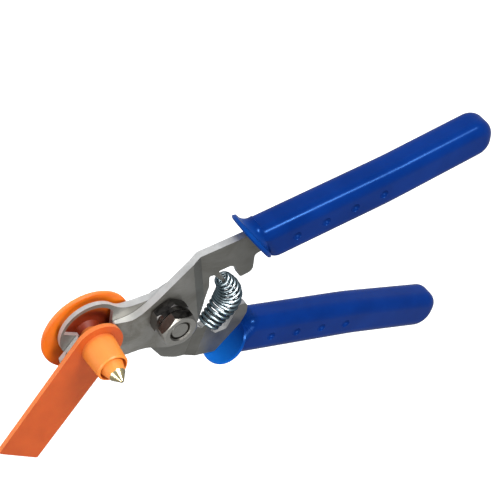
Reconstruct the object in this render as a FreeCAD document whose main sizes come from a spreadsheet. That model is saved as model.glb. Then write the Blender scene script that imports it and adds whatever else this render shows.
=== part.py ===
"""Hook-jaw hand nippers with a two-piece tag held in the jaws, as a FreeCAD macro.

Millimetres, +Z up.  The tool lies flat.  The origin is on the pivot axis, in the plane of the
bolt head's outer face.  The jaws point to -X and the handles to +X.  The seam is the plane where
the two stamped levers slide on each other; outlines are drawn in that plane with the pivot at
(0, 0) and each body is then placed at the seam's height.
"""
import FreeCAD
import Part
import Sketcher
import math
import os

from collections import namedtuple
from FreeCAD import Placement, Rotation, Vector

DIMENSIONS = [
    # levers
    ("plate", 3.0, "thickness of both stamped levers"),
    ("seam_gap", 0.05, "each lever's distance from the seam plane"),
    ("jaw_plate", 1.8, "height of the ground-down jaws above the seam"),
    ("handle_angle", 12.2, "angle between each handle and the X axis, degrees"),
    ("upper_offset", 11.6, "upper handle's centre line, sideways from the pivot"),
    ("lower_offset", 18.2, "lower handle's centre line, sideways from the pivot"),
    ("tang_half", 5.0, "half the width of the tang inside a grip"),
    ("tang_end", 112.0, "tang's end, along the handle from the pivot"),
    ("upper_step", 12.5, "start of the upper lever's joggle, along its handle"),
    ("lower_step", 20.0, "start of the lower lever's joggle, along its handle"),
    ("step_run", 4.0, "length of a joggle's slope"),
    ("relief_start", 14.0, "where the jaws' ground relief begins, forward of the pivot"),
    ("relief_run", 6.0, "length of the slope into the relief"),
    ("edge_grind", 0.7, "bevel ground along the cutting edges"),
    # jaws
    ("jaw_radius", 12.2, "outer radius of both hooked jaws"),
    ("jaw_x", 28.9, "jaw circle's centre, forward of the pivot"),
    ("upper_jaw_y", -0.6, "sideways place of the back lever's jaw circle"),
    ("lower_jaw_y", -8.0, "sideways place of the front lever's jaw circle"),
    # pivot stack
    ("bolt_radius", 4.0, "shank of the M8 pivot bolt"),
    ("pivot_clearance", 0.05, "radial running clearance of the levers on the bolt"),
    ("flats", 13.0, "width across flats of both nuts"),
    ("bolt_head_radius", 5.0, "low round head of the pivot bolt"),
    ("head_height", 2.3, "low round head of the pivot bolt"),
    ("head_round", 1.2, "rounding of the bolt head's outer face"),
    ("nut_height", 4.5, "both nuts"),
    ("lock_radius", 6.9, "spring lock washer, outside"),
    ("lock_height", 1.6, "spring lock washer"),
    ("lock_slit", 0.9, "slit in the spring lock washer"),
    ("bolt_recess", 0.6, "bolt end below the outer nut's face"),
    ("bolt_bevel", 0.8, "bevel on the bolt's end"),
    # spring
    ("wire", 1.3, "spring wire's diameter"),
    ("coil_top", 2.6, "wire circle's radius at the upper end"),
    ("coil_mid", 4.9, "wire circle's radius at mid length"),
    ("coil_low", 3.7, "wire circle's radius at the lower end"),
    ("turns", 13.0, "number of turns"),
    # grips
    ("grip_half", 8.75, "half the grip's height"),
    ("grip_thick", 13.0, "grip's thickness"),
    ("grip_round", 4.8, "rounding of the grip's long edges"),
    ("grip_end", 145.0, "grip's end, along the handle from the pivot"),
    ("grip_bend", 2.3, "how far the grip's end curves outward"),
    ("upper_guard", 39.5, "upper guard's place along its handle"),
    ("lower_guard", 37.4, "lower guard's place along its handle"),
    ("guard_lean", 28.0, "guard's lean, outer side towards the jaws, degrees"),
    ("guard_radius", 10.5, "guard disc"),
    ("guard_rim", 1.7, "guard disc, at its rim"),
    ("guard_root", 5.6, "where the guard's back has blended into the grip"),
    ("guard_out", 3.1, "guard's centre, outward of the grip's centre line"),
    ("dimple_radius", 1.9, "dimple's radius at the grip's side face"),
    ("dimple_depth", 1.1, "dimple's depth"),
    ("dimple_first", 54.0, "first dimple, along the handle from the pivot"),
    ("dimple_pitch", 12.9, "distance between dimples"),
    ("dimple_count", 4.0, "dimples on each side face"),
    # tag
    ("tag_x", 28.4, "tag's axis, forward of the pivot"),
    ("tag_y", -4.3, "tag's axis, sideways of the pivot"),
    ("disc_radius", 17.5, "tag's round button"),
    ("disc_thick", 1.8, "tag's round button"),
    ("disc_drop", 5.5, "button's outer face below the seam"),
    ("stem_radius", 3.5, "tag's stem"),
    ("head_radius", 4.6, "widest part of the stem's head"),
    ("head_start", 17.6, "height of the head's widest part over the button's outer face"),
    ("head_top", 25.1, "height of the plastic head over the button's outer face"),
    ("tip_radius", 3.1, "brass tip's base"),
    ("tip_end_radius", 0.6, "brass tip's blunt end"),
    ("tip_height", 3.6, "brass tip"),
    ("pin_radius", 1.5, "brass tip's pin inside the stem"),
    ("pin_depth", 9.0, "brass tip's pin inside the stem"),
    ("flag_rise", 3.6, "flag's inner face above the seam"),
    ("flag_thick", 1.8, "flag"),
    ("flag_half", 9.3, "half the flag's width"),
    ("flag_round", 9.8, "flag's rounded end"),
    ("flag_length", 53.3, "flag's square end from the tag's axis"),
    ("flag_angle", 122.3, "flag's direction, clockwise from +X, degrees"),
    ("collar_base", 6.6, "flag's collar at its foot"),
    ("collar_rim", 5.9, "flag's collar at its rim"),
    ("collar_height", 12.9, "collar's rim above the flag's inner face"),
    ("collar_bore", 3.7, "hole for the stem"),
    ("collar_cup", 5.1, "cup that takes the stem's head"),
    ("cup_depth", 4.3, "cup that takes the stem's head"),
]

doc = FreeCAD.newDocument("hook_jaw_nippers")
sheet = doc.addObject("Spreadsheet::Sheet", "dims")
for row, (alias, value, note) in enumerate(DIMENSIONS, start=1):
    sheet.set(f"A{row}", alias)
    sheet.set(f"B{row}", str(value))
    sheet.set(f"C{row}", note)
    sheet.setAlias(f"B{row}", alias)
doc.recompute()


def dim(alias):
    """A driving dimension's value, read from the sheet."""
    return float(sheet.get(alias))


# ---------------------------------------------------------------------------------------------
# helpers

class CircleArc(namedtuple("CircleArc", "x y radius start end")):
    """Part of a circle about (x, y), from the start angle to the end angle, degrees."""

    def at(self, degrees):
        angle = math.radians(degrees)
        return Vector(self.x + self.radius * math.cos(angle), self.y + self.radius * math.sin(angle), 0)


SUB_PARTS = []


def new_body(label):
    """A PartDesign body that becomes one sub-part."""
    body = doc.addObject("PartDesign::Body", label)
    body.Label = label
    SUB_PARTS.append(body)
    return body


def new_sketch(body, name, role="XY_Plane", offset=Placement()):
    """A sketch on one of the body's own origin planes."""
    sketch = body.newObject("Sketcher::SketchObject", name)
    plane = next(item for item in body.Origin.OriginFeatures if item.Role == role)
    sketch.AttachmentSupport = [(plane, "")]
    sketch.MapMode = "FlatFace"
    sketch.AttachmentOffset = offset
    return sketch


def lift(height):
    return Placement(Vector(0, 0, height), Rotation())


def item_ends(item):
    """First and last point of an outline item: a corner (x, y, rounding) or a CircleArc."""
    if isinstance(item, CircleArc):
        return item.at(item.start), item.at(item.end)
    point = Vector(item[0], item[1], 0)
    return point, point


def rounded_outline(sketch, items):
    """A closed outline of straight lines through corners, rounded as asked, and circle arcs."""
    pieces = []
    for index, item in enumerate(items):
        first, last = item_ends(item)
        if isinstance(item, CircleArc):
            pieces.append((first, item.at((item.start + item.end) / 2), last))
            continue
        if item[2] == 0:
            pieces.append((first, None, first))
            continue
        back = item_ends(items[index - 1])[1] - first
        ahead = item_ends(items[(index + 1) % len(items)])[0] - first
        back.normalize()
        ahead.normalize()
        half = back.getAngle(ahead) / 2
        reach = item[2] / math.tan(half)
        bisector = back + ahead
        bisector.normalize()
        middle = first + bisector * (item[2] / math.sin(half) - item[2])
        pieces.append((first + back * reach, middle, first + ahead * reach))
    for index, (start, middle, end) in enumerate(pieces):
        if middle is not None:
            sketch.addGeometry(Part.Arc(start, middle, end), False)
        following = pieces[(index + 1) % len(pieces)][0]
        if end.distanceToPoint(following) > 1e-4:
            sketch.addGeometry(Part.LineSegment(end, following), False)


def bound_polygon(sketch, vertices):
    """A closed polygon whose vertices' distances from the sketch's axes follow the sheet.

    Each vertex is (x, y) as text: "0" lies on the axis, anything else is an expression.
    """
    values = [tuple(evaluate(text) for text in vertex) for vertex in vertices]
    count = len(vertices)
    for index in range(count):
        start = Vector(*values[index], 0)
        end = Vector(*values[(index + 1) % count], 0)
        sketch.addGeometry(Part.LineSegment(start, end), False)
    for index in range(count):
        sketch.addConstraint(Sketcher.Constraint("Coincident", index, 2, (index + 1) % count, 1))
    for index, vertex in enumerate(vertices):
        for axis, text in zip("XY", vertex):
            if text == "0":
                line = -2 if axis == "X" else -1
                sketch.addConstraint(Sketcher.Constraint("PointOnObject", index, 1, line))
                continue
            value = values[index][0 if axis == "X" else 1]
            rule = Sketcher.Constraint("Distance" + axis, -1, 1, index, 1, value)
            number = sketch.addConstraint(rule)
            sketch.setExpression(f"Constraints[{number}]", text)


def evaluate(text):
    """The value of an expression that only adds and subtracts the sheet's cells."""
    total = 0.0
    for term in text.replace("-", "+-").split("+"):
        sign = -1 if term.startswith("-") else 1
        word = term.lstrip("-").strip()
        if word.startswith("dims."):
            total += sign * dim(word[5:])
        elif word:
            total += sign * float(word)
    return total


def bound_circle(sketch, radius, x=0.0, y=0.0):
    """A circle whose radius is an expression, fixed at (x, y)."""
    circle = Part.Circle(Vector(x, y, 0), Vector(0, 0, 1), evaluate(radius))
    number = sketch.addGeometry(circle, False)
    rule = sketch.addConstraint(Sketcher.Constraint("Radius", number, evaluate(radius)))
    sketch.setExpression(f"Constraints[{rule}]", radius)


def pad(body, sketch, length, midplane=False):
    feature = body.newObject("PartDesign::Pad", sketch.Name + "_pad")
    feature.Profile = sketch
    feature.setExpression("Length", length)
    feature.SideType = "Symmetric" if midplane else "One side"
    sketch.Visibility = False
    doc.recompute()
    return feature


def cut_through(body, sketch):
    """A pocket through everything on both sides of its sketch."""
    before = body.Shape.Volume
    feature = body.newObject("PartDesign::Pocket", sketch.Name + "_cut")
    feature.Profile = sketch
    feature.Type = "ThroughAll"
    feature.SideType = "Symmetric"
    doc.recompute()
    check_cut(feature, before)
    return feature


def pocket(body, sketch, length):
    """A pocket of the given depth to both sides of its sketch."""
    before = body.Shape.Volume
    feature = body.newObject("PartDesign::Pocket", sketch.Name + "_cut")
    feature.Profile = sketch
    feature.SideType = "Symmetric"
    feature.setExpression("Length", length)
    doc.recompute()
    check_cut(feature, before)
    return feature


def turn(body, sketch, kind="PartDesign::Revolution"):
    """A full revolution, or a groove, about the body's Z axis."""
    before = body.Shape.Volume if kind == "PartDesign::Groove" else None
    feature = body.newObject(kind, sketch.Name + "_turn")
    feature.Profile = sketch
    feature.ReferenceAxis = (sketch, ["V_Axis"])
    feature.Angle = 360
    doc.recompute()
    if before is not None:
        check_cut(feature, before)
    return feature


def check_cut(feature, before):
    if feature.Shape.Volume > before - 1e-3:
        raise RuntimeError(feature.Label + " removes nothing")


def edges_where(shape, test):
    """Names of the edges whose every vertex, and middle, pass the test."""
    names = []
    for number, edge in enumerate(shape.Edges, start=1):
        middle = edge.valueAt((edge.FirstParameter + edge.LastParameter) / 2)
        spots = [vertex.Point for vertex in edge.Vertexes] + [middle]
        if all(test(spot) for spot in spots):
            names.append(f"Edge{number}")
    return names


def dress(body, kind, names, size):
    """A fillet or chamfer of the given size, an expression, on the body's tip."""
    base = body.Tip
    feature = body.newObject(kind, body.Label + "_" + kind.split("::")[1].lower())
    feature.Base = (base, names)
    feature.setExpression("Radius" if kind.endswith("Fillet") else "Size", size)
    doc.recompute()
    return feature


def on_handle(side, along, out):
    """The (x, y) of a point given along a handle and outward of its centre line.

    side is +1 for the upper handle and -1 for the lower one.
    """
    angle = math.radians(dim("handle_angle"))
    offset = dim("upper_offset") if side > 0 else dim("lower_offset")
    across = offset + out
    x = along * math.cos(angle) - across * math.sin(angle)
    y = along * math.sin(angle) + across * math.cos(angle)
    return x, side * y


def guard_line(side, out):
    """How far along the handle the guard's front face is, at a distance outward."""
    place = dim("upper_guard") if side > 0 else dim("lower_guard")
    return place - out * math.tan(math.radians(dim("guard_lean")))


def shifted(start, direction, along, across):
    """A point off start by along and across the unit direction (across is to its left)."""
    ux, uy = direction
    return start[0] + along * ux - across * uy, start[1] + along * uy + across * ux


def unit(x, y):
    size = math.hypot(x, y)
    return x / size, y / size


# ---------------------------------------------------------------------------------------------
# places that several sub-parts share

SPRING_TOP = (24.4, 5.6)
SPRING_LOW = (21.9, -17.6)
TOP_DIRECTION = unit(0.62, -0.785)
LOW_DIRECTION = unit(-0.56, -0.83)
EYES = {"front_lever": (-28.4, -8.2, 10.4), "back_lever": (-29.2, -0.9, 10.9)}
# each prong: from its foot to the spring's end circle, length, half width at foot, half width at tip
TOP_PRONG = (6.2, 7.4, 1.1, 0.6)
LOW_PRONG = (1.6, 6.0, 2.3, 1.9)

SEAM = dim("head_height") + dim("plate") + 2 * dim("seam_gap")
FRONT_FACE = SEAM + dim("seam_gap") + dim("plate")
NUT_FOOT = FRONT_FACE + dim("seam_gap")


def prong(seat, direction, shape):
    """The four corners of a spring prong, from its foot's left side round to the right."""
    back, length, foot_half, tip_half = shape
    foot = shifted(seat, direction, -back, 0)
    corners = [shifted(foot, direction, 0, foot_half) + (0.4,)]
    corners.append(shifted(foot, direction, length, tip_half) + (0.5,))
    corners.append(shifted(foot, direction, length, -tip_half) + (0.5,))
    corners.append(shifted(foot, direction, 0, -foot_half) + (0.4,))
    return corners


# ---------------------------------------------------------------------------------------------
# levers

def front_lever_outline():
    """Upper handle's lever, clockwise from the grip's mouth on its outer side."""
    outline = [on_handle(1, guard_line(1, 6.1), 6.1) + (0,)]
    outline.append(on_handle(1, guard_line(1, dim("tang_half")), dim("tang_half")) + (0,))
    outline.append(on_handle(1, dim("tang_end"), dim("tang_half")) + (3,))
    outline.append(on_handle(1, dim("tang_end"), -dim("tang_half")) + (3,))
    outline.append(on_handle(1, guard_line(1, -dim("tang_half")), -dim("tang_half")) + (0,))
    outline += [(36.6, 14.2, 1.5), (37.1, 6.0, 2.6), (31.6, 4.6, 1.6), (28.7, 11.0, 0.8), (26.4, 12.0, 0.8)]
    outline += prong(SPRING_TOP, TOP_DIRECTION, TOP_PRONG)
    outline += [(17.7, 9.8, 0.5), (18.4, 4.8, 0.9), (17.1, -3.6, 10.0)]
    outline += [(12.2, -18.6, 4.5), (4.6, -20.1, 8.0)]
    outline += [(-7.0, -15.6, 16.0), (-15.5, -16.0, 12.0)]
    outline.append(CircleArc(-dim("jaw_x"), dim("lower_jaw_y"), dim("jaw_radius"), -70, -172))
    outline += [(-34.3, 0.0, 0.5), (-33.3, -7.2, 0.8)]
    outline.append(CircleArc(*EYES["front_lever"], -168.8, -42))
    outline += [(-20.7, 0.8, 0.8), (-12.4, 1.2, 14.0), (-4.6, 7.6, 16.0), (9.2, 21.0, 9.0)]
    return outline


def back_lever_outline():
    """Lower handle's lever, clockwise from its tang's inner side."""
    outline = [on_handle(-1, dim("tang_end"), -dim("tang_half")) + (3,)]
    outline.append(on_handle(-1, dim("tang_end"), dim("tang_half")) + (3,))
    outline.append(on_handle(-1, guard_line(-1, dim("tang_half")), dim("tang_half")) + (0,))
    outline.append(on_handle(-1, guard_line(-1, 8.3), 8.3) + (0,))
    outline += [(9.6, -30.6, 9.0), (3.2, -27.6, 6.0), (-3.6, -18.6, 8.0), (-13.5, -12.6, 14.0)]
    outline.append((-20.7, -10.6, 3.0))
    outline.append(CircleArc(*EYES["back_lever"], 38.8, 166.8))
    outline += [(-33.3, -1.5, 0.6), (-33.6, -6.5, 1.0), (-36.3, -10.0, 0.4)]
    outline.append(CircleArc(-dim("jaw_x"), dim("upper_jaw_y"), dim("jaw_radius"), 227, 58))
    outline += [(-16.6, 5.2, 12.0), (-3.6, 5.9, 10.0), (5.4, 10.4, 7.0), (11.2, 4.6, 6.0)]
    outline += [(9.2, -10.6, 8.0), (12.1, -15.9, 4.0)]
    outline += prong(SPRING_LOW, (-LOW_DIRECTION[0], -LOW_DIRECTION[1]), LOW_PRONG)
    outline += [(25.4, -22.4, 0.8), (30.2, -21.8, 0.8), (34.2, -10.9, 1.4), (38.2, -10.8, 2.6)]
    outline.append((38.4, -16.4, 2.0))
    outline.append(on_handle(-1, guard_line(-1, -dim("tang_half")), -dim("tang_half")) + (0,))
    return outline


def joggle_cuts(sketch, start, up):
    """Two sections that leave a stepped plate: head on the up side of the seam, tang astride it.

    x runs along the handle and y up through the plate; up is +1 for the front lever.
    """
    half = dim("plate") / 2
    gap = dim("seam_gap")
    top = gap + dim("plate")
    run = dim("step_run")
    far = 200.0
    beyond = 10.0
    for corners in (
        [(-far, gap), (start, gap), (start + run, -half), (start + run, -beyond), (-far, -beyond)],
        [(start, top), (start + run, half), (far, half), (far, beyond), (start, beyond)],
    ):
        rounded_outline(sketch, [(x, up * y, 0) for x, y in corners])


def make_lever(label, outline, up, side, step):
    """A stamped lever: outline, joggle behind the pivot, thinned jaw and pivot hole."""
    body = new_body(label)
    low = -dim("plate") / 2 if up > 0 else -dim("plate") - dim("seam_gap")
    blank = new_sketch(body, label + "_outline", offset=lift(low))
    rounded_outline(blank, outline)
    pad(body, blank, "dims.plate * 1.5 + dims.seam_gap")

    turned = Placement(Vector(0, 0, 0), Rotation(Vector(0, 1, 0), side * dim("handle_angle")))
    joggle = new_sketch(body, label + "_joggle", "XZ_Plane", turned)
    joggle_cuts(joggle, step, up)
    cut_through(body, joggle)

    relief = new_sketch(body, label + "_relief", "XZ_Plane")
    start = -dim("relief_start")
    end = start - dim("relief_run")
    top = dim("plate") + dim("seam_gap")
    corners = [(start, top), (end, dim("jaw_plate")), (-60, dim("jaw_plate")), (-60, 10), (start, 10)]
    rounded_outline(relief, [(x, up * z, 0) for x, z in corners])
    cut_through(body, relief)

    hole = new_sketch(body, label + "_pivot_hole")
    bound_circle(hole, "dims.bolt_radius + dims.pivot_clearance")
    cut_through(body, hole)

    eye_x, eye_y, eye_radius = EYES[label]
    bevel = new_sketch(body, label + "_edge", "XZ_Plane", Placement(Vector(eye_x, 0, -eye_y), Rotation()))
    face = dim("jaw_plate")
    grind = dim("edge_grind")
    outer = eye_radius + grind
    corners = [(eye_radius, face - grind), (outer, face), (outer, 5), (eye_radius, 5)]
    rounded_outline(bevel, [(x, up * z, 0) for x, z in corners])
    turn(body, bevel, "PartDesign::Groove")
    body.Placement = lift(SEAM)
    return body


make_lever("front_lever", front_lever_outline(), 1, 1, dim("upper_step"))
make_lever("back_lever", back_lever_outline(), -1, -1, dim("lower_step"))


# ---------------------------------------------------------------------------------------------
# pivot bolt, nuts and lock washer

def hexagon(sketch, turned):
    """A hexagon dims.flats across, turned by the given degrees."""
    reach = dim("flats") / math.sqrt(3)
    angles = [math.radians(turned + 60 * step) for step in range(6)]
    rounded_outline(sketch, [(reach * math.cos(angle), reach * math.sin(angle), 0) for angle in angles])


def bevel_corners(body, label, height, upward):
    """The 30 degree bevel turned on a hexagon's corners at its outer face."""
    inner = dim("flats") / 2 - 0.3
    outer = dim("flats") / math.sqrt(3) + 0.3
    drop = (outer - inner) * math.tan(math.radians(30))
    sketch = new_sketch(body, label, "XZ_Plane")
    bevel = [(inner, height), (outer, height - upward * drop), (outer, height)]
    rounded_outline(sketch, [(x, z, 0) for x, z in bevel])
    turn(body, sketch, "PartDesign::Groove")


def make_nut(label, foot, turned):
    body = new_body(label)
    blank = new_sketch(body, label + "_hexagon")
    hexagon(blank, turned)
    pad(body, blank, "dims.nut_height")
    bore = new_sketch(body, label + "_bore")
    bound_circle(bore, "dims.bolt_radius")
    cut_through(body, bore)
    bevel_corners(body, label + "_top_bevel", dim("nut_height"), 1)
    bevel_corners(body, label + "_foot_bevel", 0.0, -1)
    mouth = new_sketch(body, label + "_countersink", "XZ_Plane")
    edge = dim("bolt_radius") + 0.5
    top = dim("nut_height")
    rounded_outline(mouth, [(0, top, 0), (edge, top, 0), (0, top - edge, 0)])
    turn(body, mouth, "PartDesign::Groove")
    body.Placement = lift(foot)
    return body


bolt = new_body("pivot_bolt")
bolt_head = new_sketch(bolt, "bolt_head")
bound_circle(bolt_head, "dims.bolt_head_radius")
pad(bolt, bolt_head, "dims.head_height")
dress(bolt, "PartDesign::Fillet", edges_where(bolt.Shape, lambda spot: abs(spot.z) < 0.01), "dims.head_round")
shank = new_sketch(bolt, "bolt_shank")
bound_circle(shank, "dims.bolt_radius")
STACK_TOP = NUT_FOOT + 2 * dim("nut_height") + dim("lock_height")
pad(bolt, shank, f"{STACK_TOP} - dims.bolt_recess")
end_edges = edges_where(bolt.Shape, lambda spot: spot.z > STACK_TOP - 1)
dress(bolt, "PartDesign::Chamfer", end_edges, "dims.bolt_bevel")

make_nut("pivot_nut", NUT_FOOT, 30.0)
make_nut("lock_nut", NUT_FOOT + dim("nut_height") + dim("lock_height"), 52.5)

washer = new_body("lock_washer")
ring = new_sketch(washer, "lock_washer_ring")
bound_circle(ring, "dims.lock_radius")
bound_circle(ring, "dims.bolt_radius + 0.1")
pad(washer, ring, "dims.lock_height")
slit = new_sketch(washer, "lock_washer_slit", "YZ_Plane", lift(-dim("bolt_radius") - 2))
lean = dim("lock_height") * 0.6
half_slit = dim("lock_slit") / 2
slit_corners = [(-half_slit - lean, -1), (half_slit - lean, -1), (half_slit + lean, 3)]
slit_corners.append((-half_slit + lean, 3))
rounded_outline(slit, [(y, z, 0) for y, z in slit_corners])
pocket(washer, slit, "4")
washer.Placement = Placement(Vector(0, 0, NUT_FOOT + dim("nut_height")), Rotation(Vector(0, 0, 1), 150))


# ---------------------------------------------------------------------------------------------
# handle spring: a barrel coil on a bowed centre line between the two prongs

def spring_points(per_turn=16):
    """The wire's centre line, from the upper prong to the lower one."""
    first = Vector(*SPRING_TOP, 0)
    last = Vector(*SPRING_LOW, 0)
    guides = (first + Vector(*TOP_DIRECTION, 0) * 14, last - Vector(*LOW_DIRECTION, 0) * 11)
    turns = dim("turns")
    points = []
    for step in range(int(turns * per_turn) + 1):
        part = step / (turns * per_turn)
        t = part - 0.32 * math.sin(2 * math.pi * part) / (2 * math.pi)
        s = 1 - t
        centre = first * s**3 + guides[0] * (3 * s * s * t) + guides[1] * (3 * s * t * t) + last * t**3
        ahead = (guides[0] - first) * (s * s) + (guides[1] - guides[0]) * (2 * s * t)
        ahead = (ahead + (last - guides[1]) * (t * t)).normalize()
        across = Vector(0, 0, 1).cross(ahead)
        end_radius = dim("coil_top") * s + dim("coil_low") * t
        radius = end_radius + (dim("coil_mid") - end_radius) * math.sin(math.pi * t) ** 1.2
        angle = 2 * math.pi * turns * part
        points.append(centre + across * (radius * math.cos(angle)) + Vector(0, 0, radius * math.sin(angle)))
    return points


def wire_solid(points, diameter):
    """Round wire along a smooth line through the points, with flat ends."""
    line = Part.BSplineCurve()
    line.interpolate(points)
    path = Part.Wire([line.toShape()])
    start = line.tangent(line.FirstParameter)[0]
    section = Part.Wire([Part.Circle(points[0], start, diameter / 2).toShape()])
    return path.makePipeShell([section], True, True)


spring = doc.addObject("Part::Feature", "handle_spring")
spring.Label = "handle_spring"
spring.Shape = wire_solid(spring_points(), dim("wire"))
spring.Placement = lift(SEAM)
SUB_PARTS.append(spring)


# ---------------------------------------------------------------------------------------------
# moulded grips, drawn along +X from the pivot with +Y outward, then turned onto each handle

def make_grip(label, side):
    body = new_body(label)
    half = dim("grip_half")
    bend = dim("grip_bend")
    end = dim("grip_end")
    plan = new_sketch(body, label + "_plan")
    corners = [
        (guard_line(side, half), half, 0),
        (100.0, half, 180.0),
        (end + 0.5, half + bend, 8.0),
        (end - 0.5, -half + bend + 0.6, 7.0),
        (96.0, -half, 180.0),
        (guard_line(side, -half), -half, 5.2),
    ]
    rounded_outline(plan, corners)
    pad(body, plan, "dims.grip_thick", midplane=True)
    face = dim("grip_thick") / 2
    long_edges = edges_where(
        body.Shape,
        lambda spot: abs(abs(spot.z) - face) < 0.01 and spot.x > guard_line(side, spot.y) - 0.1,
    )
    front = edges_where(body.Shape, lambda spot: abs(spot.x - guard_line(side, spot.y)) < 0.01)
    rounded = [name for name in long_edges if name not in front]
    dress(body, "PartDesign::Fillet", rounded, "dims.grip_round")

    lean = dim("guard_lean")
    out = dim("guard_out")
    rim = dim("guard_rim")
    radius = dim("guard_radius")
    # the disc's profile: its own x runs out from the disc's centre and its y backwards along the grip
    middle = Vector(guard_line(side, out), out, 0)
    turned = Placement(middle, Rotation(Vector(0, 0, 1), lean - 90))
    profile = new_sketch(body, label + "_guard", offset=turned)
    edge = 0.6
    outer = Vector(radius, edge, 0)
    inner = Vector(radius - 0.7, rim, 0)
    profile.addGeometry(Part.LineSegment(Vector(0, 0, 0), Vector(radius - edge, 0, 0)), False)
    profile.addGeometry(Part.LineSegment(Vector(radius - edge, 0, 0), outer), False)
    profile.addGeometry(Part.LineSegment(outer, inner), False)
    root = Vector(5.6, dim("guard_root"), 0)
    profile.addGeometry(Part.Arc(inner, Vector(6.9, 2.7, 0), root), False)
    profile.addGeometry(Part.LineSegment(root, Vector(0, root.y, 0)), False)
    profile.addGeometry(Part.LineSegment(Vector(0, root.y, 0), Vector(0, 0, 0)), False)
    turn(body, profile)
    return body


def finish_grip(body, side):
    """The tang's slot, the dimples on both side faces, and the grip's place on its handle."""
    label = body.Label
    slot = new_sketch(body, label + "_slot")
    half = dim("tang_half")
    end = dim("tang_end")
    bound = [(20.0, -half, 0), (end, -half, 3.0), (end, half, 3.0), (20.0, half, 0)]
    rounded_outline(slot, bound)
    pocket(body, slot, "dims.plate")

    radius = dim("dimple_radius")
    depth = dim("dimple_depth")
    ball = (radius**2 + depth**2) / (2 * depth)
    face = dim("grip_thick") / 2
    for up in (1, -1):
        before = body.Shape.Volume
        name = f"{label}_dimple_{'front' if up > 0 else 'back'}"
        cup = new_sketch(body, name, "XZ_Plane", Placement(Vector(dim("dimple_first"), 0, 0), Rotation()))
        rim = Vector(radius, up * face, 0)
        floor = Vector(0, up * (face - depth), 0)
        middle_angle = math.asin(radius / ball) / 2
        rise = ball * (1 - math.cos(middle_angle))
        middle = Vector(ball * math.sin(middle_angle), up * (face - depth + rise), 0)
        cup.addGeometry(Part.Arc(floor, middle, rim), False)
        above = up * (face + 1)
        cup.addGeometry(Part.LineSegment(rim, Vector(radius, above, 0)), False)
        cup.addGeometry(Part.LineSegment(Vector(radius, above, 0), Vector(0, above, 0)), False)
        cup.addGeometry(Part.LineSegment(Vector(0, above, 0), floor), False)
        dimple = turn(body, cup, "PartDesign::Groove")
        row = body.newObject("PartDesign::LinearPattern", name + "_row")
        row.Originals = [dimple]
        axis = next(item for item in body.Origin.OriginFeatures if item.Role == "X_Axis")
        row.Direction = (axis, [""])
        row.setExpression("Length", "dims.dimple_pitch * (dims.dimple_count - 1)")
        row.setExpression("Occurrences", "dims.dimple_count")
        body.Tip = row
        doc.recompute()
        check_cut(row, before)

    offset = dim("upper_offset") if side > 0 else dim("lower_offset")
    angle = dim("handle_angle")
    onto_line = Placement(Vector(0, offset, 0), Rotation())
    turned = Placement(Vector(0, 0, SEAM), Rotation(Vector(0, 0, 1), angle))
    place = turned.multiply(onto_line)
    if side < 0:
        # half a turn about the X axis brings the same moulding onto the lower handle
        over = Placement(Vector(0, 0, SEAM), Rotation(Vector(1, 0, 0), 180))
        on_handle = Placement(Vector(0, 0, 0), Rotation(Vector(0, 0, 1), angle)).multiply(onto_line)
        place = over.multiply(on_handle)
    body.Placement = place


for grip_label, grip_side in (("upper_grip", 1), ("lower_grip", -1)):
    grip = make_grip(grip_label, grip_side)
    finish_grip(grip, grip_side)


# ---------------------------------------------------------------------------------------------
# two-piece tag: button with stem, flag with collar, brass tip

TAG_FOOT = SEAM - dim("disc_drop")


def make_tag_button():
    body = new_body("tag_button")
    half = new_sketch(body, "tag_button_half", "XZ_Plane")
    bound_polygon(half, [
        ("0", "0"),
        ("dims.disc_radius - 0.5", "0"),
        ("dims.disc_radius", "0.5"),
        ("dims.disc_radius", "dims.disc_thick - 0.4"),
        ("dims.disc_radius - 0.4", "dims.disc_thick"),
        ("dims.stem_radius + 1.6", "dims.disc_thick"),
        ("dims.stem_radius", "dims.disc_thick + 1.6"),
        ("dims.stem_radius", "dims.head_start - 1.2"),
        ("dims.head_radius", "dims.head_start"),
        ("dims.head_radius", "dims.head_start + 2.6"),
        ("dims.tip_radius", "dims.head_top"),
        ("dims.pin_radius", "dims.head_top"),
        ("dims.pin_radius", "dims.head_top - dims.pin_depth"),
        ("0", "dims.head_top - dims.pin_depth"),
    ])
    turn(body, half)
    body.Placement = Placement(Vector(-dim("tag_x"), dim("tag_y"), TAG_FOOT), Rotation())


def make_tag_tip():
    body = new_body("tag_tip")
    half = new_sketch(body, "tag_tip_half", "XZ_Plane")
    bound_polygon(half, [
        ("0", "0"),
        ("dims.pin_radius", "0"),
        ("dims.pin_radius", "dims.pin_depth"),
        ("dims.tip_radius", "dims.pin_depth"),
        ("dims.tip_end_radius", "dims.pin_depth + dims.tip_height"),
        ("0", "dims.pin_depth + dims.tip_height"),
    ])
    turn(body, half)
    height = TAG_FOOT + dim("head_top") - dim("pin_depth")
    body.Placement = Placement(Vector(-dim("tag_x"), dim("tag_y"), height), Rotation())


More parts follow.
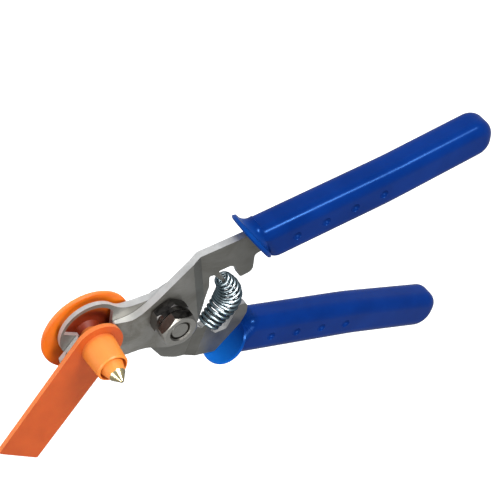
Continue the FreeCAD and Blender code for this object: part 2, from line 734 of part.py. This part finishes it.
def make_tag_flag():
    """Drawn with the flag along +X from the tag's axis."""
    body = new_body("tag_flag")
    plan = new_sketch(body, "tag_flag_plan")
    half = dim("flag_half")
    length = dim("flag_length")
    rounded = dim("flag_round")
    corners = [(length, half, 0.8), CircleArc(0.0, 0.0, rounded, 87, 273), (length, -half, 0.8)]
    rounded_outline(plan, corners)
    pad(body, plan, "dims.flag_thick")
    collar = new_sketch(body, "tag_flag_collar", "XZ_Plane")
    bound_polygon(collar, [
        ("0", "0"),
        ("dims.collar_base", "0"),
        ("dims.collar_base", "dims.flag_thick"),
        ("dims.collar_rim", "dims.collar_height - 0.5"),
        ("dims.collar_rim - 0.4", "dims.collar_height"),
        ("0", "dims.collar_height"),
    ])
    turn(body, collar)
    cup = new_sketch(body, "tag_flag_cup", "XZ_Plane")
    bound_polygon(cup, [
        ("0", "0"),
        ("dims.collar_bore", "0"),
        ("dims.collar_bore", "dims.collar_height - dims.cup_depth - 1.4"),
        ("dims.collar_cup", "dims.collar_height - dims.cup_depth"),
        ("dims.collar_cup", "dims.collar_height"),
        ("0", "dims.collar_height"),
    ])
    turn(body, cup, "PartDesign::Groove")
    place = Vector(-dim("tag_x"), dim("tag_y"), SEAM + dim("flag_rise"))
    body.Placement = Placement(place, Rotation(Vector(0, 0, 1), -dim("flag_angle")))


make_tag_button()
make_tag_tip()
make_tag_flag()


# ---------------------------------------------------------------------------------------------
# checks, then one STEP file per sub-part

doc.recompute()
faults = [item.Label for item in doc.Objects if {"Invalid", "Error"} & set(item.State)]
if faults:
    raise RuntimeError("failed objects: " + ", ".join(faults))
os.makedirs("parts", exist_ok=True)
for part in SUB_PARTS:
    shape = part.Shape
    if shape.isNull() or not shape.isValid() or len(shape.Solids) != 1:
        raise RuntimeError(f"{part.Label}: null, invalid or {len(shape.Solids)} solids")
for part in SUB_PARTS:
    part.Shape.exportStep(os.path.join("parts", part.Label + ".step"))
    box = part.Shape.BoundBox
    print(f"{part.Label:14s} {part.Shape.Volume:9.1f} mm3  x {box.XMin:7.2f}..{box.XMax:7.2f}"
          f"  y {box.YMin:7.2f}..{box.YMax:7.2f}  z {box.ZMin:6.2f}..{box.ZMax:6.2f}")
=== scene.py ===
import math

import bpy
from mathutils import Matrix, Vector


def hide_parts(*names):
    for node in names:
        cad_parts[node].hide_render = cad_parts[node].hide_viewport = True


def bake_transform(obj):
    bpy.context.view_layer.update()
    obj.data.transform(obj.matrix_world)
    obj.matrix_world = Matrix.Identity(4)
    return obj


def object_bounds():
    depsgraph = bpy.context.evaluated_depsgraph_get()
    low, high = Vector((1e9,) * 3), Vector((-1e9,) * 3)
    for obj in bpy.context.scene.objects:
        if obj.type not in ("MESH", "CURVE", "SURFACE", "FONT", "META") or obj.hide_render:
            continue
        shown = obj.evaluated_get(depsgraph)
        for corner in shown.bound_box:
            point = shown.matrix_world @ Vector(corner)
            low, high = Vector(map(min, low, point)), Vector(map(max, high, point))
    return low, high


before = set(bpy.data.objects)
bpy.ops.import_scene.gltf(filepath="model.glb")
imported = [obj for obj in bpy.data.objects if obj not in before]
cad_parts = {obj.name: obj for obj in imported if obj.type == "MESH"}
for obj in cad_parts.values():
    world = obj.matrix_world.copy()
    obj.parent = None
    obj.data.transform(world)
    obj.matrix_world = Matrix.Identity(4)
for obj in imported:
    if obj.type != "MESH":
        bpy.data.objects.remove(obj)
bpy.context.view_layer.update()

bpy.context.scene.view_settings.view_transform = "Standard"

SEAM = 0.0054
HANDLE_ANGLE = math.radians(12.2)
TAG_AXIS = (-0.0284, -0.0043)


# ---------------------------------------------------------------------------------------------
# material helpers

class Nodes:
    """A short way to build one procedural material."""

    def __init__(self, name):
        self.material = bpy.data.materials.new(name)
        self.material.use_nodes = True
        self.tree = self.material.node_tree
        self.shader = self.tree.nodes["Principled BSDF"]

    def add(self, kind, **values):
        node = self.tree.nodes.new(kind)
        for key, value in values.items():
            if hasattr(node, key):
                setattr(node, key, value)
            else:
                node.inputs[key.replace("_", " ")].default_value = value
        return node

    def link(self, source, target):
        self.tree.links.new(source, target)

    def place(self, scale=(1, 1, 1), turn=(0, 0, 0)):
        """Object coordinates, stretched and turned."""
        where = self.add("ShaderNodeTexCoord")
        mapping = self.add("ShaderNodeMapping")
        mapping.inputs["Scale"].default_value = scale
        mapping.inputs["Rotation"].default_value = turn
        self.link(where.outputs["Object"], mapping.inputs["Vector"])
        return mapping.outputs["Vector"]

    def noise(self, vector, scale, detail=4.0, roughness=0.5, distortion=0.0):
        node = self.add("ShaderNodeTexNoise")
        node.inputs["Scale"].default_value = scale
        node.inputs["Detail"].default_value = detail
        node.inputs["Roughness"].default_value = roughness
        node.inputs["Distortion"].default_value = distortion
        self.link(vector, node.inputs["Vector"])
        return node.outputs["Fac"]

    def ramp(self, factor, stops):
        """Colours, or greys given as one number, at places along the factor."""
        node = self.add("ShaderNodeValToRGB")
        elements = node.color_ramp.elements
        while len(elements) < len(stops):
            elements.new(0.5)
        for element, (place, colour) in zip(elements, stops):
            element.position = place
            grey = not isinstance(colour, (tuple, list))
            element.color = (colour, colour, colour, 1) if grey else (*colour, 1)
        self.link(factor, node.inputs["Fac"])
        return node.outputs["Color"]

    def mix(self, factor, first, second, mode="MIX"):
        node = self.add("ShaderNodeMix", data_type="RGBA", blend_type=mode)
        colours = [socket for socket in node.inputs if socket.type == "RGBA"]
        for socket, value in zip(colours, (first, second)):
            if isinstance(value, tuple):
                socket.default_value = (*value, 1)
            else:
                self.link(value, socket)
        if isinstance(factor, (int, float)):
            node.inputs[0].default_value = factor
        else:
            self.link(factor, node.inputs[0])
        return next(socket for socket in node.outputs if socket.type == "RGBA")

    def maths(self, operation, first, second=0.0):
        node = self.add("ShaderNodeMath", operation=operation)
        for socket, value in zip(node.inputs, (first, second)):
            if isinstance(value, (int, float)):
                socket.default_value = value
            else:
                self.link(value, socket)
        return node.outputs[0]

    def span(self, value, low, high, to_low=0.0, to_high=1.0):
        node = self.add("ShaderNodeMapRange", clamp=True)
        for name, number in (("From Min", low), ("From Max", high), ("To Min", to_low), ("To Max", to_high)):
            node.inputs[name].default_value = number
        self.link(value, node.inputs["Value"])
        return node.outputs["Result"]

    def along(self, direction, coordinate="Object"):
        """Distance of the surface point along a direction, or of its normal."""
        where = self.add("ShaderNodeTexCoord")
        dot = self.add("ShaderNodeVectorMath", operation="DOT_PRODUCT")
        dot.inputs[1].default_value = direction
        self.link(where.outputs[coordinate], dot.inputs[0])
        return dot.outputs["Value"]

    def bump(self, height, strength, distance, below=None):
        node = self.add("ShaderNodeBump")
        node.inputs["Strength"].default_value = strength
        node.inputs["Distance"].default_value = distance
        self.link(height, node.inputs["Height"])
        if below is not None:
            self.link(below, node.inputs["Normal"])
        return node.outputs["Normal"]

    def set(self, **values):
        """Plain values or links, on the shader's own sockets."""
        for key, value in values.items():
            socket = self.shader.inputs[key.replace("_", " ")]
            if isinstance(value, (int, float)):
                socket.default_value = value
            elif isinstance(value, tuple):
                socket.default_value = (*value, 1) if socket.type == "RGBA" else value
            else:
                self.link(value, socket)


# ---------------------------------------------------------------------------------------------
# materials

def lever_steel(name, angle, painted_face_shade):
    """Satin sheet steel: grey faces with fine grain and faint stains, brighter sheared edges. Painted shade
    darkens the faces and walls towards the handles, the walls turned down, and the sloped faces of the bends.
    """
    m = Nodes(name)
    grain = m.noise(m.place((60, 900, 300), (0, 0, -angle)), 9.0, 3.0, 0.6)
    fine = m.noise(m.place(), 2600.0, 2.0, 0.6)
    stain = m.noise(m.place((1, 1.3, 1)), 70.0, 5.0, 0.62, 0.8)
    face = m.ramp(stain, [(0.30, (0.17, 0.155, 0.12)), (0.50, (0.26, 0.25, 0.22)), (0.72, (0.33, 0.32, 0.30))])
    face = m.mix(m.span(grain, 0.3, 0.7, 0.0, 0.35), face, (0.42, 0.41, 0.39))
    broad = m.noise(m.place(), 160.0, 3.0, 0.5)
    side = m.ramp(broad, [(0.3, (0.60, 0.60, 0.59)), (0.7, (0.74, 0.74, 0.73))])
    reach = m.along((math.cos(angle), math.sin(angle), 0))
    # painted shade: the side walls darken towards the handles
    side = m.mix(m.span(reach, 0.018, 0.040, 0.0, 0.6), side, (0.24, 0.24, 0.25))
    # painted shade: side walls turned down, away from +y, are darker
    side = m.mix(m.span(m.along((0, 1, 0), "Normal"), -0.6, 0.2, 0.6, 0.0), side, (0.15, 0.15, 0.155))
    # painted shade: the faces darken towards the handles, starting near the pivot from the amount given as the
    # third argument
    face = m.mix(m.span(reach, -0.006, 0.016, painted_face_shade, 0.6), face, (0.10, 0.10, 0.088))
    # painted shade: faces tilted a little off flat, the sloped faces of the bends, are darker
    level = m.maths("ABSOLUTE", m.along((0, 0, 1), "Normal"))
    face = m.mix(m.span(level, 0.93, 0.992, 0.5, 0.0), face, (0.06, 0.06, 0.055))
    flat = m.span(level, 0.35, 0.80)
    colour = m.mix(flat, side, face)
    face_rough = m.maths("ADD", m.span(stain, 0.3, 0.7, 0.34, 0.48), m.span(grain, 0.3, 0.7, -0.05, 0.05))
    rough = m.maths("ADD", face_rough, m.span(flat, 0.0, 1.0, 0.10, 0.0))
    height = m.maths("ADD", m.maths("MULTIPLY", grain, flat), m.maths("MULTIPLY", fine, 0.5))
    m.set(Base_Color=colour, Metallic=0.85, Roughness=rough, Normal=m.bump(height, 0.2, 0.00003))
    return m.material


def grip_blue(name, side):
    """Glossy blue moulding. Painted light: paler blue where light would shine through the thin guard, strongly
    on the lower guard and faintly on the upper; a painted shadow of the plates in dark navy on the guard next
    to them.
    """
    m = Nodes(name)
    angle = side * HANDLE_ANGLE
    cloud = m.noise(m.place(), 60.0, 3.0, 0.5)
    deep = m.ramp(cloud, [(0.3, (0.0008, 0.013, 0.095)), (0.7, (0.0012, 0.018, 0.125))])
    reach = m.along((math.cos(angle), math.sin(angle), 0))
    outward = m.along((-math.sin(HANDLE_ANGLE), side * math.cos(HANDLE_ANGLE), 0))
    lean = math.tan(math.radians(28.0))
    start = (0.0395 + 0.0116 * lean) if side > 0 else (0.0374 + 0.0182 * lean)
    depth = m.maths("ADD", reach, m.maths("MULTIPLY", outward, lean))
    thin = m.span(depth, start + 0.0022, start + 0.0050, 1.0, 0.0)
    edge = 0.0116 if side > 0 else 0.0182
    # painted light: paler blue where light would shine through the guard's thin rim, far more on the lower
    # guard than the upper
    rim = m.span(outward, edge - 0.004, edge + 0.010, 0.0, 0.12 if side > 0 else 0.8)
    painted_light_through = m.maths("MULTIPLY", thin, rim)
    colour = m.mix(painted_light_through, deep, (0.004, 0.110, 0.450))
    # painted shadow of the lever plates: dark navy on the guard near the plate
    painted_plate_shadow = m.maths("MULTIPLY", thin, m.span(outward, edge - 0.012, edge - 0.004, 0.8, 0.0))
    colour = m.mix(painted_plate_shadow, colour, (0.001, 0.008, 0.035))
    rough = m.span(cloud, 0.3, 0.7, 0.19, 0.25)
    ripple = m.noise(m.place((60, 60, 60)), 3.0, 2.0, 0.5)
    m.set(Base_Color=colour, Roughness=rough, Normal=m.bump(ripple, 0.10, 0.0003))
    m.set(Specular_IOR_Level=0.20, Specular_Tint=(0.12, 0.38, 1.0))
    m.set(Subsurface_Weight=0.06, Subsurface_Radius=(0.001, 0.002, 0.006), Subsurface_Scale=1.0)
    return m.material


def plated(name, painted_tones, roughness, scale):
    """Bright plating with fine scratches and marks; painted reflections and shade set its tone by which way
    each face turns, darker on the sides turned up the tool.
    """
    m = Nodes(name)
    cloud = m.noise(m.place(), scale, 3.0, 0.5, 0.4)
    scratch = m.noise(m.place((1400, 90, 400), (0.3, 0.2, 0.7)), 2.0, 2.0, 0.6)
    # painted reflections and shade: the tone is picked by which way the face's normal turns
    turned = m.span(m.along((-0.35, -0.75, 0.55), "Normal"), -0.9, 0.9)
    tone = m.ramp(turned, painted_tones)
    colour = m.mix(m.span(cloud, 0.35, 0.65, 0.0, 0.30), tone, (0.20, 0.19, 0.175))
    rough = m.span(cloud, 0.3, 0.7, roughness, roughness + 0.10)
    m.set(Base_Color=colour, Metallic=1.0, Roughness=rough, Normal=m.bump(scratch, 0.10, 0.00002))
    return m.material


def spring_plating(name):
    """Bright zinc on round wire, with painted highlight and painted shade by the wire's normal: a bright line
    on the side turned to the light, dark blue-green flanks.
    """
    m = Nodes(name)
    cloud = m.noise(m.place(), 500.0, 3.0, 0.5)
    # painted highlight and painted shade: tone by how far the wire's normal turns towards the light
    lit = m.along((-0.40, 0.70, 0.59), "Normal")
    painted_light_tones = [(0.0, (0.006, 0.014, 0.020)), (0.50, (0.020, 0.045, 0.055)), (0.80, (0.16, 0.23, 0.26))]
    painted_light_tones.append((0.97, (0.48, 0.56, 0.59)))
    tone = m.ramp(m.span(lit, -0.2, 1.0), painted_light_tones)
    colour = m.mix(m.span(cloud, 0.3, 0.7, 0.0, 0.15), tone, (0.20, 0.26, 0.28))
    rough = m.span(cloud, 0.3, 0.7, 0.30, 0.38)
    m.set(Base_Color=colour, Metallic=1.0, Roughness=rough, Normal=m.bump(cloud, 0.02, 0.00001))
    return m.material


def tag_orange(name, dark, light, high, step, painted_eye_shadow=None):
    """Soft orange plastic with painted light and shade: side walls painted lighter, above the step height the
    lighter high colour as if lit, and near its axis a painted shadow colour.
    """
    m = Nodes(name)
    cloud = m.noise(m.place(), 90.0, 4.0, 0.55)
    grain = m.noise(m.place(), 2200.0, 2.0, 0.6)
    colour = m.ramp(cloud, [(0.3, dark), (0.7, light)])
    # painted shadow: near the tag's axis, faces not turned down take the given dark shadow colour
    if painted_eye_shadow is not None:
        across = m.maths("POWER", m.maths("SUBTRACT", m.along((1, 0, 0)), TAG_AXIS[0]), 2.0)
        upward = m.maths("POWER", m.maths("SUBTRACT", m.along((0, 1, 0)), TAG_AXIS[1]), 2.0)
        radius = m.maths("SQRT", m.maths("ADD", across, upward))
        inner = m.span(radius, 0.0085, 0.0120, 1.0, 0.0)
        front = m.span(m.along((0, 0, 1), "Normal"), -0.5, -0.1)
        colour = m.mix(m.maths("MULTIPLY", inner, front), colour, painted_eye_shadow)
    # painted light: side walls lighter orange than the faces
    flank = m.span(m.maths("ABSOLUTE", m.along((0, 0, 1), "Normal")), 0.2, 0.7, 0.45, 0.0)
    colour = m.mix(flank, colour, (0.72, 0.22, 0.045))
    # painted light: above the step height the part takes the lighter high colour, as if lit brighter
    up = m.span(m.along((0, 0, 1)), step, step + 0.0012)
    colour = m.mix(up, colour, high)
    rough = m.maths("ADD", m.span(cloud, 0.3, 0.7, 0.36, 0.46), m.span(grain, 0.3, 0.7, 0.0, 0.05))
    m.set(Base_Color=colour, Roughness=rough, Normal=m.bump(grain, 0.10, 0.00005))
    m.set(Subsurface_Weight=0.15, Subsurface_Radius=(0.004, 0.0015, 0.0005), Subsurface_Scale=1.0)
    return m.material


def turned_brass(name):
    """Brass with fine tool rings round the point."""
    m = Nodes(name)
    rings = m.noise(m.place((30, 30, 5200)), 1.0, 2.0, 0.6)
    cloud = m.noise(m.place(), 300.0, 3.0, 0.5)
    colour = m.ramp(cloud, [(0.3, (0.52, 0.43, 0.22)), (0.7, (0.70, 0.62, 0.37))])
    rough = m.span(cloud, 0.3, 0.7, 0.20, 0.32)
    m.set(Base_Color=colour, Metallic=1.0, Roughness=rough, Normal=m.bump(rings, 0.35, 0.00006))
    return m.material


# painted reflection and shade tones for the plated parts, picked by face normal: a darker set and a brighter
# set
DIM_PAINTED_TONES = [
    (0.0, (0.010, 0.009, 0.009)),
    (0.35, (0.035, 0.033, 0.032)),
    (0.60, (0.16, 0.15, 0.15)),
    (0.9, (0.42, 0.40, 0.38)),
]
BRIGHT_PAINTED_TONES = [
    (0.0, (0.010, 0.009, 0.009)),
    (0.30, (0.040, 0.036, 0.034)),
    (0.60, (0.22, 0.21, 0.19)),
    (0.85, (0.52, 0.50, 0.45)),
]

FINISH = {
    # the third argument of lever_steel is the painted shade on the faces near the pivot: none on the front
    # lever, more on the back lever beneath it
    "front_lever": lever_steel("lever_steel_front", HANDLE_ANGLE, 0.0),
    "back_lever": lever_steel("lever_steel_back", -HANDLE_ANGLE, 0.45),
    "upper_grip": grip_blue("grip_blue_upper", 1),
    "lower_grip": grip_blue("grip_blue_lower", -1),
    "pivot_bolt": plated("bolt_plating", BRIGHT_PAINTED_TONES, 0.22, 400.0),
    "pivot_nut": plated("nut_plating", DIM_PAINTED_TONES, 0.28, 500.0),
    "lock_washer": plated("washer_plating", DIM_PAINTED_TONES, 0.24, 500.0),
    "lock_nut": plated("lock_nut_plating", BRIGHT_PAINTED_TONES, 0.30, 500.0),
    "tag_button": tag_orange(
        "tag_button_orange",
        dark=(0.47, 0.082, 0.000), light=(0.56, 0.118, 0.001), high=(0.66, 0.19, 0.025),
        step=0.012, painted_eye_shadow=(0.19, 0.018, 0.002)),
    # painted shade: the flag's orange is a darker copy of the button's
    "tag_flag": tag_orange(
        "tag_flag_orange",
        dark=(0.34, 0.050, 0.003), light=(0.41, 0.064, 0.005), high=(0.62, 0.18, 0.022),
        step=0.0112),
    "tag_tip": turned_brass("tag_brass"),
}
for node_name, material in FINISH.items():
    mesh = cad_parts[node_name].data
    mesh.materials.clear()
    mesh.materials.append(material)


# ---------------------------------------------------------------------------------------------
# handle spring: round wire coiled in a barrel shape on a bowed centre line

SPRING_TOP = Vector((24.4, 5.6, 0))
SPRING_LOW = Vector((21.9, -17.6, 0))
TOP_DIRECTION = Vector((0.62, -0.785, 0)).normalized()
LOW_DIRECTION = Vector((-0.56, -0.83, 0)).normalized()
COIL_TOP, COIL_MID, COIL_LOW, TURNS, WIRE = 2.6, 4.9, 3.7, 13.0, 1.3


def coil_point(part):
    t = part - 0.32 * math.sin(2 * math.pi * part) / (2 * math.pi)
    s = 1 - t
    guides = (SPRING_TOP + TOP_DIRECTION * 14, SPRING_LOW - LOW_DIRECTION * 11)
    centre = SPRING_TOP * s**3 + guides[0] * (3 * s * s * t) + guides[1] * (3 * s * t * t) + SPRING_LOW * t**3
    ahead = (guides[0] - SPRING_TOP) * (s * s) + (guides[1] - guides[0]) * (2 * s * t)
    ahead = (ahead + (SPRING_LOW - guides[1]) * (t * t)).normalized()
    across = Vector((0, 0, 1)).cross(ahead)
    end_radius = COIL_TOP * s + COIL_LOW * t
    radius = end_radius + (COIL_MID - end_radius) * math.sin(math.pi * t) ** 1.2
    angle = 2 * math.pi * TURNS * part
    return centre + across * (radius * math.cos(angle)) + Vector((0, 0, radius * math.sin(angle)))


def tube(name, points, radius, sides):
    """A closed round tube along the points, its rings turned as little as possible."""
    verts, faces = [], []
    count = len(points)
    normal = None
    for index, point in enumerate(points):
        ahead = (points[min(index + 1, count - 1)] - points[max(index - 1, 0)]).normalized()
        if normal is None:
            normal = ahead.orthogonal().normalized()
        normal = (normal - ahead * normal.dot(ahead)).normalized()
        other = ahead.cross(normal)
        for side in range(sides):
            angle = 2 * math.pi * side / sides
            verts.append(point + (normal * math.cos(angle) + other * math.sin(angle)) * radius)
    for ring in range(count - 1):
        for side in range(sides):
            a = ring * sides + side
            b = ring * sides + (side + 1) % sides
            faces.append((a, b, b + sides, a + sides))
    faces.append(tuple(reversed(range(sides))))
    faces.append(tuple(range((count - 1) * sides, count * sides)))
    mesh = bpy.data.meshes.new(name)
    mesh.from_pydata([vert * 0.001 + Vector((0, 0, SEAM)) for vert in verts], [], faces)
    for polygon in mesh.polygons:
        polygon.use_smooth = len(polygon.vertices) == 4
    piece = bpy.data.objects.new(name, mesh)
    bpy.context.scene.collection.objects.link(piece)
    return piece


STEPS = 28
wire_line = [coil_point(step / (TURNS * STEPS)) for step in range(int(TURNS * STEPS) + 1)]
spring = tube("spring_coil", wire_line, WIRE / 2, 14)
spring.data.materials.append(spring_plating("spring_zinc"))
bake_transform(spring)
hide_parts("handle_spring")


# ---------------------------------------------------------------------------------------------
# floor, lights, camera

def floor_material():
    m = Nodes("floor_white")
    cloud = m.noise(m.place(), 3.0, 2.0, 0.5)
    m.set(Base_Color=m.ramp(cloud, [(0.3, (0.90, 0.90, 0.90)), (0.7, (0.93, 0.93, 0.93))]), Roughness=0.8)
    m.set(Emission_Color=(1.0, 1.0, 1.0), Emission_Strength=0.35)
    return m.material


low_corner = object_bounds()[0]
bpy.ops.mesh.primitive_plane_add(size=6.0, location=(0, 0, low_corner.z - 0.12))
floor = bpy.context.object
floor.name = "floor"
floor.data.materials.append(floor_material())
floor.visible_glossy = False

world = bpy.data.worlds.new("studio")
bpy.context.scene.world = world
world.use_nodes = True
world.node_tree.nodes["Background"].inputs["Color"].default_value = (0.93, 0.96, 1.0, 1)
world.node_tree.nodes["Background"].inputs["Strength"].default_value = 0.42


def soft_light(name, direction, distance, size, power, target=(0.03, -0.005, 0.005)):
    """A square area light facing the tool from a direction."""
    data = bpy.data.lights.new(name, "AREA")
    data.shape = "RECTANGLE"
    data.size, data.size_y = size
    data.energy = power
    light = bpy.data.objects.new(name, data)
    bpy.context.scene.collection.objects.link(light)
    way = Vector(direction).normalized()
    light.location = Vector(target) + way * distance
    light.rotation_mode = "QUATERNION"
    light.rotation_quaternion = way.to_track_quat("Z", "Y")
    return light


soft_light("key", (0.12, 0.88, 0.48), 0.9, (0.34, 0.12), 10.0)
soft_light("top", (-0.15, 0.1, 1.0), 1.0, (0.5, 0.5), 7.0)
soft_light("left", (-1.0, 0.10, 0.45), 0.9, (0.25, 0.35), 3.5)

camera_data = bpy.data.cameras.new("camera")
camera_data.sensor_width = 36.0
camera_data.lens = 108.0
camera_data.clip_start = 0.01
camera = bpy.data.objects.new("camera", camera_data)
bpy.context.scene.collection.objects.link(camera)
right = Vector((0.83820, 0.15307, 0.52343))
down = Vector((-0.25724, -0.73535, 0.62697))
forward = Vector((0.48088, -0.66017, -0.57700))
rotation = Matrix((right, -down, -forward)).transposed()
camera.matrix_world = Matrix.Translation((-0.22931, 0.37863, 0.31722 + SEAM)) @ rotation.to_4x4()
bpy.context.scene.camera = camera
